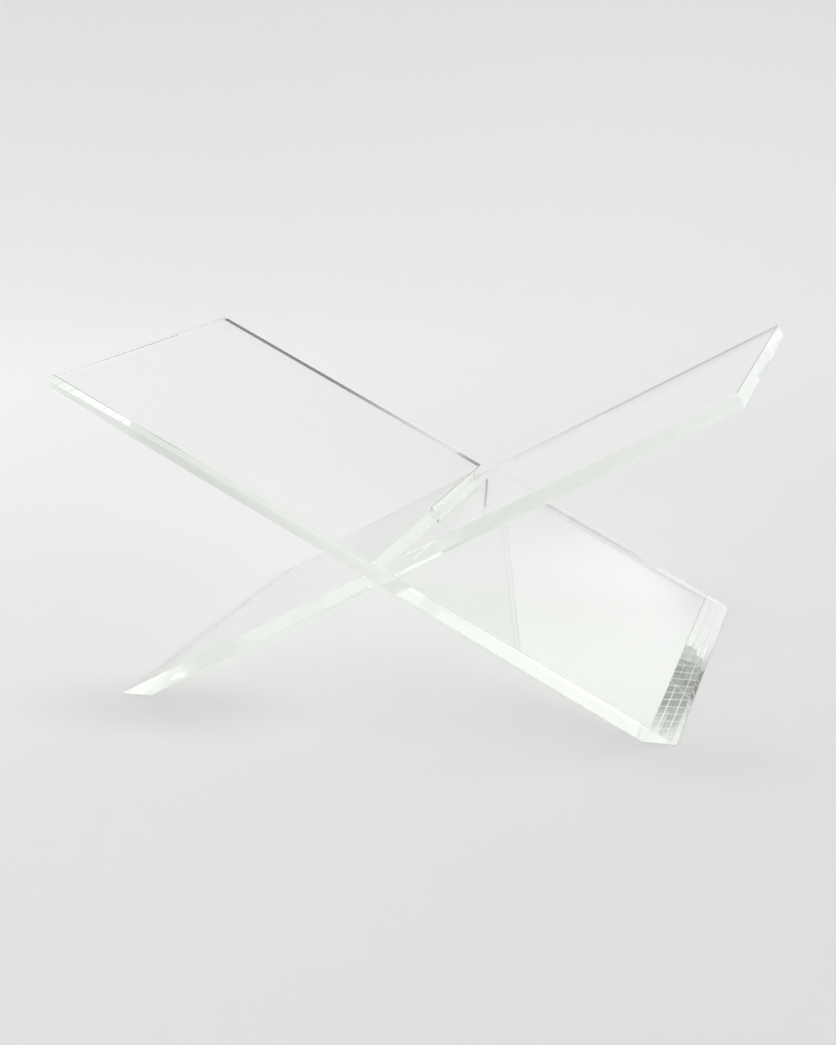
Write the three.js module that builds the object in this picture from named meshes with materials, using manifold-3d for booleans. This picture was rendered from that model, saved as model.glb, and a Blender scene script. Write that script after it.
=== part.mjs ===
// Crossed-panel book stand: two identical clear acrylic panels, joined by half-depth slots.
// Millimetres, +Z up. The stand rests on Z = 0 with its crossing above the origin.
// +X runs across the open book, +Y runs along its spine, away from the reader.
import * as THREE from "three";
import { mergeVertices } from "three/addons/utils/BufferGeometryUtils.js";
import Module from "manifold-3d";

const wasm = await Module();
wasm.setup();

// Driving dimensions
const DEPTH = 270; // panel width, along Y
const THICKNESS = 10; // cast acrylic sheet
const WING = 250; // centre line, from the crossing to the square upper end
const LEG = 201; // centre line, from the crossing to the floor
const LEAN = THREE.MathUtils.degToRad(28.2); // each panel's slope from the floor
const FIT_GAP = 0.35; // air between one panel's face and the other's slot corners
const SLOT_END_GAP = 0.3; // air between the two slot ends when the edges are flush

// Derived dimensions
const CROSSING_HEIGHT = LEG * Math.sin(LEAN);
const FOOT_SHIFT = (THICKNESS / 2) / Math.tan(LEAN); // the foot's bevel, along the panel
const SLOT_HALF_WIDTH = FOOT_SHIFT + FIT_GAP / Math.sin(2 * LEAN);
const SLOT_DEPTH = DEPTH / 2 + SLOT_END_GAP / 2;

const clearAcrylic = () =>
  new THREE.MeshStandardMaterial({
    color: 0xe6efe8,
    roughness: 0.04,
    metalness: 0,
    transparent: true,
    opacity: 0.3,
  });

// A closed geometry as a manifold solid, so that it can be cut.
function toSolid(geometry) {
  const bare = geometry.clone();
  bare.deleteAttribute("normal");
  bare.deleteAttribute("uv");
  const merged = mergeVertices(bare, 1e-4);
  return new wasm.Manifold(
    new wasm.Mesh({
      numProp: 3,
      vertProperties: new Float32Array(merged.attributes.position.array),
      triVerts: new Uint32Array(merged.index.array),
    }),
  );
}

function toGeometry(solid) {
  const mesh = solid.getMesh();
  const geometry = new THREE.BufferGeometry();
  geometry.setAttribute("position", new THREE.BufferAttribute(mesh.vertProperties, 3));
  geometry.setIndex(new THREE.BufferAttribute(mesh.triVerts, 1));
  const flat = geometry.toNonIndexed();
  flat.computeVertexNormals();
  return flat;
}

// Side view of a panel: X along it with the crossing at 0 and the foot at +X, Y through the sheet.
// The upper end is square. The foot is cut level with the floor once the panel leans.
function panelProfile() {
  const half = THICKNESS / 2;
  const shape = new THREE.Shape();
  shape.moveTo(-WING, -half);
  shape.lineTo(LEG - FOOT_SHIFT, -half);
  shape.lineTo(LEG + FOOT_SHIFT, half);
  shape.lineTo(-WING, half);
  shape.closePath();
  return shape;
}

// The panel lying flat: X along it, Y across it, Z through the sheet.
function panelBlank() {
  const geometry = new THREE.ExtrudeGeometry(panelProfile(), {
    depth: DEPTH,
    bevelEnabled: false,
  });
  geometry.rotateX(Math.PI / 2); // the extrusion now runs along -Y
  geometry.translate(0, DEPTH / 2, 0);
  return geometry;
}

// The cutter for the slot, which opens at the panel's +Y edge and has square walls.
function slotCutter() {
  const over = 2;
  const geometry = new THREE.BoxGeometry(
    2 * SLOT_HALF_WIDTH,
    SLOT_DEPTH + over,
    THICKNESS + 2 * over,
  );
  geometry.translate(0, DEPTH / 2 + over - (SLOT_DEPTH + over) / 2, 0);
  return geometry;
}

function slottedPanelGeometry() {
  return toGeometry(toSolid(panelBlank()).subtract(toSolid(slotCutter())));
}

// One leaning panel: its wing rises towards -X, its foot is at +X, its slot opens at +Y.
function leaningPanel(name, geometry) {
  const mesh = new THREE.Mesh(geometry, clearAcrylic());
  mesh.name = name;
  mesh.rotation.y = LEAN;
  const lift = new THREE.Group();
  lift.position.z = CROSSING_HEIGHT;
  lift.add(mesh);
  return lift;
}

function stand() {
  const group = new THREE.Group();
  const geometry = slottedPanelGeometry();
  group.add(leaningPanel("left_wing_panel", geometry));
  // The same panel turned half a turn about Z: wing at +X, foot at -X, slot open at -Y.
  const right = leaningPanel("right_wing_panel", geometry);
  right.rotation.z = Math.PI;
  group.add(right);
  return group;
}

export default stand();
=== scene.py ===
"""Clear acrylic crossed-panel book stand: materials, studio and camera around the CAD frame."""
import math

import bpy
from mathutils import Matrix, Vector

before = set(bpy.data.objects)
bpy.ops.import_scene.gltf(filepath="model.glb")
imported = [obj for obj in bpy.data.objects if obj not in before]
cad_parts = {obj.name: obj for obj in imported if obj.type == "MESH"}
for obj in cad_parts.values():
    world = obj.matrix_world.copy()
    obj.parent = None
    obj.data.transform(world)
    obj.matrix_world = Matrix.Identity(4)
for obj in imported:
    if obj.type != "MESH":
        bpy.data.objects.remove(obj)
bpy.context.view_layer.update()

LEAN = math.radians(28.2)            # each panel's rise from the floor

# ---------------------------------------------------------------- acrylic sheet
ACRYLIC_IOR = 1.49
FACE_TINT = (0.984, 1.0, 0.978, 1)   # on each pass through a surface
BODY_TINT = (0.78, 0.87, 0.76, 1)    # along the way inside the sheet
BODY_DENSITY = 1.0                   # of that tint, per metre
WAVE_DEPTH = 0.00005                 # faint waviness of the cast sheet
WAVE_SCALE = 14.0

ARRIS = 0.0004                       # width of the broken corner along every cut
ARRIS_SEGMENTS = 2
ARRIS_FROM = math.radians(25)        # corners sharper than this are broken
WELD_DISTANCE = 1e-5

CUT, FACE = 0.5, 0.8                 # cosine to the panel's face: wholly cut, wholly face
STREAK_STRETCH = (1, 0.15, 1)        # the haze is drawn out along the depth
STREAK_SCALE = 25.0
STREAK_RANGE = (0.3, 0.7)            # of the noise
STREAK_SPREAD = (0.88, 1.12)         # what that range multiplies the haze by
SLOT_HAZE = 0.8                      # the slots are left as sawn, duller than the outer cuts
SLOT_WALLS = (0.3, 0.6)              # |y| of a normal: a slot's wall, a front or back edge
SLOT_REACH = (0.02, 0.03)            # |x| where the slot's walls end

# ---------------------------------------------------------------- studio
FLOOR_DROP = 0.0004                  # the feet rest on the paper's nap, not in it
ROUND = 96                           # steps in a surface of revolution
PAPER_GREY = (0.80, 0.80, 0.80)
PAPER_ROUGHNESS = 0.9
COVE_RADIUS, COVE_BEND, COVE_HEIGHT = 3.4, 1.6, 1.9
COVE_STEPS = 24
FLOOR_MIDDLE = 0.5                   # radius of the flat face that closes the floor

# painted light and shade, as soft ovals on the paper: the panel each one keeps to, centre, half
# sizes, change in tone
PAINTED_LIGHT_AND_SHADE_OVALS = (
    ("left_wing_panel", (0.00, 0.05), (0.36, 0.34), 0.06),       # painted pool of light under the clear sheets
    ("left_wing_panel", (0.09, 0.10), (0.17, 0.15), -0.085),     # painted soft shade under the right leg
    ("right_wing_panel", (-0.15, -0.15), (0.13, 0.07), -0.12),   # painted shadow before the left foot
    ("left_wing_panel", (0.20, -0.15), (0.10, 0.06), -0.05),     # and a painted shadow before the right foot
)

# The dome and the cards are met by mirrored light only: they glow as painted reflections and light
# nothing. Places on the dome are parts of a unit direction from the middle of the floor.
DOME_RADIUS = 1.75
DOME_ANGLES = (2, 10, 20, 30, 40, 50, 60, 65, 70, 75, 80, 85, 90)  # down from the zenith
SKY_GLOW = 0.84
BEHIND = (0.2, 0.5)                  # y where the far half begins, and where it is full
# painted reflections of brighter cards on the far half: (from, to, softness) across, the same
# upward, added glow
DOME_CARDS = (
    ((0.26, 0.36, 0.16), (0.30, 0.46, 0.06), 0.48),
    ((0.26, 0.34, 0.05), (-0.10, 0.12, 0.05), 0.50),
)
GAP_FRONT = (-0.80, -0.70)           # y of the painted dark gap behind the camera, seen in reflections: full, gone
GAP_TOP = (0.366, 0.392)             # z of its upper edge: full, gone
GAP_THINS = (0.12, 0.18)             # z over which it thins from black
GAP_THIN = 0.72                      # to this much darkness
CARD_RIM = 0.6                       # of a floor card's half size: its edge is soft from here

WORLD_GLOW = 0.80
MAX_BOUNCES = 96                     # light runs a long way inside a clear sheet
TRANSPARENT_BOUNCES = 16

# ---------------------------------------------------------------- photograph
PHOTO_HEIGHT = 1045
SENSOR = 36.0


# ---------------------------------------------------------------- node helpers
def link_or_set(nt, value, socket):
    """Give a socket another node's output or a plain value."""
    if isinstance(value, bpy.types.NodeSocket):
        nt.links.new(value, socket)
    else:
        socket.default_value = value


def math_node(nt, op, a, b=None, clamp=False):
    n = nt.nodes.new("ShaderNodeMath")
    n.operation, n.use_clamp = op, clamp
    for i, v in enumerate((a, b)):
        if v is not None:
            link_or_set(nt, v, n.inputs[i])
    return n.outputs[0]


def product(nt, first, *others):
    for other in others:
        first = math_node(nt, "MULTIPLY", first, other)
    return first


def size_of(nt, value):
    return math_node(nt, "ABSOLUTE", value)


def ramp(nt, value, lo, hi, at_lo, at_hi, smooth=True):
    """value from lo to hi gives at_lo to at_hi, clamped."""
    n = nt.nodes.new("ShaderNodeMapRange")
    n.interpolation_type = "SMOOTHSTEP" if smooth else "LINEAR"
    nt.links.new(value, n.inputs["Value"])
    for k, v in (("From Min", lo), ("From Max", hi), ("To Min", at_lo), ("To Max", at_hi)):
        n.inputs[k].default_value = v
    return n.outputs["Result"]


def window(nt, value, lo, hi, soft):
    """1 between lo and hi, fading to 0 over `soft` on each side."""
    return product(nt, ramp(nt, value, lo - soft, lo, 0.0, 1.0),
                   ramp(nt, value, hi, hi + soft, 1.0, 0.0))


def vector_node(nt, op, vector):
    n = nt.nodes.new("ShaderNodeVectorMath")
    n.operation = op
    link_or_set(nt, vector, n.inputs[0])
    return n


def xyz(nt, vector):
    s = nt.nodes.new("ShaderNodeSeparateXYZ")
    nt.links.new(vector, s.inputs[0])
    return s.outputs


def noise(nt, coord, stretch, scale, detail):
    place = nt.nodes.new("ShaderNodeMapping")
    place.inputs["Scale"].default_value = stretch
    nt.links.new(coord, place.inputs["Vector"])
    n = nt.nodes.new("ShaderNodeTexNoise")
    n.inputs["Scale"].default_value = scale
    n.inputs["Detail"].default_value = detail
    nt.links.new(place.outputs[0], n.inputs["Vector"])
    return n.outputs["Fac"]


def new_material(name):
    m = bpy.data.materials.new(name)
    m.use_nodes = True
    return m


# ---------------------------------------------------------------- panels
def soften_edges(panel):
    """Small polished bevels on every edge, as a cut and buffed sheet has."""
    weld = panel.modifiers.new("weld", "WELD")
    weld.merge_threshold = WELD_DISTANCE
    bevel = panel.modifiers.new("arris", "BEVEL")
    bevel.width = ARRIS
    bevel.segments = ARRIS_SEGMENTS
    bevel.limit_method = "ANGLE"
    bevel.angle_limit = ARRIS_FROM
    bevel.harden_normals = False


def haze_along(nt, x, haze_at):
    """Haze at each x, in straight steps through ((x, haze), (x, haze), ...)."""
    haze = haze_at[0][1]
    for (xa, ha), (xb, hb) in zip(haze_at, haze_at[1:]):
        haze = math_node(nt, "ADD", ramp(nt, x, xa, xb, 0.0, hb - ha, smooth=False), haze)
    return haze


def cut_haze(nt, coord, face_normal, haze_at):
    """How much of a surface is a satin film: none on the faces, some on the outside of cuts."""
    dot = vector_node(nt, "DOT_PRODUCT", coord.outputs["Normal"])
    dot.inputs[1].default_value = face_normal
    cut = ramp(nt, size_of(nt, dot.outputs["Value"]), CUT, FACE, 1.0, 0.0)

    x = xyz(nt, coord.outputs["Object"])[0]
    normal_y = xyz(nt, coord.outputs["Normal"])[1]
    slot = product(nt, ramp(nt, size_of(nt, normal_y), *SLOT_WALLS, SLOT_HAZE, 0.0),
                   ramp(nt, size_of(nt, x), *SLOT_REACH, 1.0, 0.0))
    haze = math_node(nt, "ADD", haze_along(nt, x, haze_at), slot)

    streaks = noise(nt, coord.outputs["Object"], STREAK_STRETCH, STREAK_SCALE, detail=2.0)
    haze = product(nt, haze, ramp(nt, streaks, *STREAK_RANGE, *STREAK_SPREAD, smooth=False))

    geometry = nt.nodes.new("ShaderNodeNewGeometry")
    outside = math_node(nt, "SUBTRACT", 1.0, geometry.outputs["Backfacing"])
    return math_node(nt, "MULTIPLY", product(nt, haze, cut), outside, clamp=True)


def acrylic(name, face_normal, haze_at):
    """Cast acrylic: clear polished faces, cut edges with a thin satin haze.

    face_normal tells faces from cuts. haze_at is ((x, haze), ...) along the panel, because
    the polish is uneven from one end of a cut to the other."""
    m = new_material(name)
    nt = m.node_tree
    p = nt.nodes["Principled BSDF"]
    p.inputs["Base Color"].default_value = FACE_TINT
    p.inputs["Roughness"].default_value = 0.0
    p.inputs["IOR"].default_value = ACRYLIC_IOR

    body = nt.nodes.new("ShaderNodeVolumeAbsorption")
    body.inputs["Color"].default_value = BODY_TINT
    body.inputs["Density"].default_value = BODY_DENSITY
    nt.links.new(body.outputs["Volume"], nt.nodes["Material Output"].inputs["Volume"])

    coord = nt.nodes.new("ShaderNodeTexCoord")
    film = cut_haze(nt, coord, face_normal, haze_at)
    nt.links.new(math_node(nt, "SUBTRACT", 1.0, film), p.inputs["Transmission Weight"])

    wave = nt.nodes.new("ShaderNodeBump")
    wave.inputs["Strength"].default_value = 1.0
    wave.inputs["Distance"].default_value = WAVE_DEPTH
    height = noise(nt, coord.outputs["Object"], (1, 1, 1), WAVE_SCALE, detail=1.0)
    nt.links.new(height, wave.inputs["Height"])
    nt.links.new(wave.outputs["Normal"], p.inputs["Normal"])
    return m


FINISH = {
    "left_wing_panel": acrylic(
        "clear_acrylic", (math.sin(LEAN), 0.0, math.cos(LEAN)),
        ((-0.165, 0.15), (-0.155, 0.0), (-0.12, 0.0), (-0.03, 0.28), (0.03, 0.34), (0.15, 0.50))),
    "right_wing_panel": acrylic(
        "clear_acrylic_right", (-math.sin(LEAN), 0.0, math.cos(LEAN)),
        ((-0.16, 0.45), (-0.02, 0.30), (0.06, 0.0), (0.20, 0.27))),
}
for panel_name, finish in FINISH.items():
    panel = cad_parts[panel_name]
    panel.data.materials.clear()
    panel.data.materials.append(finish)
    soften_edges(panel)


# ---------------------------------------------------------------- studio surfaces
def staged(name, verts, faces, material, smooth=False):
    mesh = bpy.data.meshes.new(name)
    mesh.from_pydata(verts, [], faces)
    for poly in mesh.polygons:
        poly.use_smooth = smooth
    mesh.materials.append(material)
    o = bpy.data.objects.new(name, mesh)
    bpy.context.scene.collection.objects.link(o)
    return o


def turned(name, profile, material):
    """A surface of revolution about the vertical axis, from (radius, height) points."""
    verts, faces = [], []
    for r, z in profile:
        for k in range(ROUND):
            a = 2 * math.pi * k / ROUND
            verts.append((r * math.cos(a), r * math.sin(a), z))
    for i in range(len(profile) - 1):
        here, after = i * ROUND, (i + 1) * ROUND
        for k in range(ROUND):
            j = (k + 1) % ROUND
            faces.append((here + k, here + j, after + j, after + k))
    faces.append(tuple(reversed(range(ROUND))))
    return staged(name, verts, faces, material, smooth=True)


def painted_oval_tone(nt, panel_name, centre, half, change):
    """`change` of painted light and shade at the centre of an oval on the paper, fading to 0 at
    its rim.
    """
    coord = nt.nodes.new("ShaderNodeTexCoord")
    coord.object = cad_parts[panel_name]
    place = nt.nodes.new("ShaderNodeMapping")
    place.vector_type = "TEXTURE"
    place.inputs["Location"].default_value = (*centre, 0.0)
    place.inputs["Scale"].default_value = (*half, 1.0)
    nt.links.new(coord.outputs["Object"], place.inputs["Vector"])
    outward = vector_node(nt, "LENGTH", place.outputs[0]).outputs["Value"]
    return ramp(nt, outward, 0.0, 1.0, change, 0.0)


def paper():
    """Matt paper with painted shade where the stand's feet meet it and a painted pool of light
    under the sheets; each painted oval follows its panel.
    """
    m = new_material("cove_paper_with_painted_light_and_shade")
    nt = m.node_tree
    p = nt.nodes["Principled BSDF"]
    p.inputs["Roughness"].default_value = PAPER_ROUGHNESS
    p.inputs["Specular IOR Level"].default_value = 0.0
    # the paper's colour is darkened and lightened here by the painted light and shade ovals
    tone = 1.0
    for oval in PAINTED_LIGHT_AND_SHADE_OVALS:
        tone = math_node(nt, "ADD", painted_oval_tone(nt, *oval), tone)
    shade = vector_node(nt, "SCALE", PAPER_GREY)
    nt.links.new(tone, shade.inputs["Scale"])
    nt.links.new(shade.outputs[0], p.inputs["Base Color"])
    return m


def cove():
    """A round light-grey studio: floor and wall in one seamless sheet."""
    floor_edge = COVE_RADIUS - COVE_BEND
    profile = [(FLOOR_MIDDLE, 0.0), (floor_edge, 0.0)]
    for i in range(1, COVE_STEPS + 1):
        a = math.pi / 2 * i / COVE_STEPS
        profile.append((floor_edge + COVE_BEND * math.sin(a), COVE_BEND - COVE_BEND * math.cos(a)))
    profile.append((COVE_RADIUS, COVE_HEIGHT))
    o = turned("studio_cove", profile, paper())
    o.location.z = -FLOOR_DROP


def reflections_only(name, build, inner):
    """A material that only mirrored rays meet, for painted reflections: build(nt, coord, inside)
    gives its cover and glow.

    With inner, only rays mirrored inside a sheet meet it, not those off its outer face."""
    m = new_material(name)
    m.cycles.emission_sampling = "NONE"
    nt = m.node_tree
    nt.nodes.remove(nt.nodes["Principled BSDF"])
    path = nt.nodes.new("ShaderNodeLightPath")
    coord = nt.nodes.new("ShaderNodeTexCoord")
    inside = math_node(nt, "MINIMUM", path.outputs["Transmission Depth"], 1.0)
    cover, glow = build(nt, coord.outputs["Object"], inside)
    met = math_node(nt, "MINIMUM", path.outputs["Glossy Depth"], 1.0)
    if inner:
        met = product(nt, met, inside)
    clear = nt.nodes.new("ShaderNodeBsdfTransparent")
    light = nt.nodes.new("ShaderNodeEmission")
    link_or_set(nt, glow, light.inputs["Strength"])
    mix = nt.nodes.new("ShaderNodeMixShader")
    nt.links.new(product(nt, met, cover), mix.inputs[0])
    nt.links.new(clear.outputs[0], mix.inputs[1])
    nt.links.new(light.outputs[0], mix.inputs[2])
    nt.links.new(mix.outputs[0], nt.nodes["Material Output"].inputs["Surface"])
    return m


def hide_from_eye(o):
    o.visible_camera = False
    o.visible_diffuse = False
    o.visible_shadow = False
    o.visible_volume_scatter = False


def reflection_dome():
    """A glowing dome seen only in reflections: painted reflections of tall soft boxes round the
    set, with a painted dark gap behind the camera.
    """
    def build(nt, coord, inside):
        x, y, z = xyz(nt, vector_node(nt, "NORMALIZE", coord).outputs[0])
        behind = ramp(nt, y, *BEHIND, 0.0, 1.0)
        sky = SKY_GLOW
        for across, up, glow in DOME_CARDS:
            # painted reflection: the glow of a brighter card on the dome
            lit = product(nt, window(nt, x, *across), window(nt, z, *up), behind, glow)
            sky = math_node(nt, "ADD", lit, sky)
        gap = product(nt, ramp(nt, y, *GAP_FRONT, 1.0, 0.0), ramp(nt, z, *GAP_TOP, 1.0, 0.0),
                      ramp(nt, z, *GAP_THINS, 1.0, GAP_THIN), inside)
        return 1.0, product(nt, sky, math_node(nt, "SUBTRACT", 1.0, gap))
    angles = [math.radians(a) for a in DOME_ANGLES]
    profile = [(DOME_RADIUS * math.sin(a), DOME_RADIUS * math.cos(a)) for a in angles]
    material = reflections_only("reflection_dome", build, inner=False)
    hide_from_eye(turned("reflection_dome", profile, material))


def painted_front_gap(start, end, far, half):
    """Painted dark reflection: to mirrored rays inside the sheets, the floor falls off into the
    dark in front of the set, from start to black at end.
    """
    def build(nt, coord, inside):
        return ramp(nt, xyz(nt, coord)[1], end, start, 1.0, 0.0), 0.0
    verts = [(-half, -far, 0.0), (half, -far, 0.0), (half, start, 0.0), (-half, start, 0.0)]
    material = reflections_only("painted_front_gap", build, inner=True)
    hide_from_eye(staged("painted_front_gap", verts, [(0, 1, 2, 3)], material))


def glowing_reflection_card(name, at, half, glow):
    """A glowing card lying behind the stand, met only by light that has run through the sheets: a
    painted reflection, which lights nothing.
    """
    def build(nt, coord, inside):
        x, y, _ = xyz(nt, coord)
        cover = product(nt, ramp(nt, size_of(nt, x), CARD_RIM, 1.0, 1.0, 0.0),
                        ramp(nt, size_of(nt, y), CARD_RIM, 1.0, 1.0, 0.0))
        return cover, glow
    verts = [(-1.0, -1.0, 0.0), (1.0, -1.0, 0.0), (1.0, 1.0, 0.0), (-1.0, 1.0, 0.0)]
    o = staged(name, verts, [(0, 1, 2, 3)], reflections_only(name, build, inner=True))
    o.location, o.scale = (*at, 0.0), (*half, 1.0)
    hide_from_eye(o)


# ---------------------------------------------------------------- lights
def softbox(name, at, look, side, power):
    light = bpy.data.lights.new(name, "AREA")
    light.shape = "SQUARE"
    light.size = side
    light.energy = power
    o = bpy.data.objects.new(name, light)
    bpy.context.scene.collection.objects.link(o)
    o.location = at
    o.rotation_euler = (Vector(look) - Vector(at)).to_track_quat("-Z", "Y").to_euler()
    o.visible_camera = False
    o.visible_glossy = False
    return o


def light_only(light, objects, name):
    """Flags off the paper: this light falls on the given objects alone."""
    lit = bpy.data.collections.new(name)
    for o in objects:
        lit.objects.link(o)
    light.light_linking.receiver_collection = lit


def surrounding_light():
    world = bpy.data.worlds.new("studio")
    bpy.context.scene.world = world
    world.use_nodes = True
    background = world.node_tree.nodes["Background"]
    background.inputs["Color"].default_value = (1, 1, 1, 1)
    background.inputs["Strength"].default_value = WORLD_GLOW


cove()
reflection_dome()
painted_front_gap(start=-0.28, end=-0.76, far=1.3, half=1.1)
glowing_reflection_card("bright_glow_card", at=(0.10, 0.24), half=(0.30, 0.24), glow=1.0)
glowing_reflection_card("dim_glow_card", at=(-0.60, 0.85), half=(0.55, 0.50), glow=0.75)
softbox("back_softbox", at=(0.0, 2.2, 2.0), look=(-0.2, 0.4, 0.0), side=1.2, power=8.2)
softbox("left_softbox", at=(-2.2, 0.2, 1.8), look=(-0.2, 0.4, 0.0), side=1.2, power=20.1)
front = softbox("front_softbox", at=(0.9, -2.6, 1.1), look=(0.0, 0.0, 0.0), side=1.4, power=30.0)
light_only(front, [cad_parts[n] for n in FINISH], "lit_by_front_softbox")
surrounding_light()


# ---------------------------------------------------------------- camera
def camera(at, yaw, pitch, roll, focal_px):
    """A camera at `at` in metres. Yaw turns it left from +Y, pitch tips it down."""
    cam = bpy.data.cameras.new("camera")
    cam.sensor_fit = "AUTO"
    cam.sensor_width = SENSOR
    cam.lens = focal_px / PHOTO_HEIGHT * SENSOR
    o = bpy.data.objects.new("camera", cam)
    bpy.context.scene.collection.objects.link(o)
    level = math.cos(pitch)
    forward = Vector((-math.sin(yaw) * level, math.cos(yaw) * level, -math.sin(pitch)))
    right = Vector((math.cos(yaw), math.sin(yaw), 0))
    up = right.cross(forward)
    right, up = (right * math.cos(roll) + up * math.sin(roll),
                 -right * math.sin(roll) + up * math.cos(roll))
    turn = Matrix((right, up, -forward)).transposed().to_4x4()
    o.matrix_world = Matrix.Translation(at) @ turn
    bpy.context.scene.camera = o


camera(at=(0.3094, -1.0136, 0.3834), yaw=math.radians(17.82), pitch=math.radians(15.27),
       roll=math.radians(-1.71), focal_px=1557)

scene = bpy.context.scene
scene.view_settings.view_transform = "Standard"
scene.cycles.max_bounces = MAX_BOUNCES
scene.cycles.transmission_bounces = MAX_BOUNCES
scene.cycles.glossy_bounces = MAX_BOUNCES
scene.cycles.transparent_max_bounces = TRANSPARENT_BOUNCES
scene.cycles.blur_glossy = 0.0
scene.cycles.caustics_refractive = True
scene.cycles.caustics_reflective = True
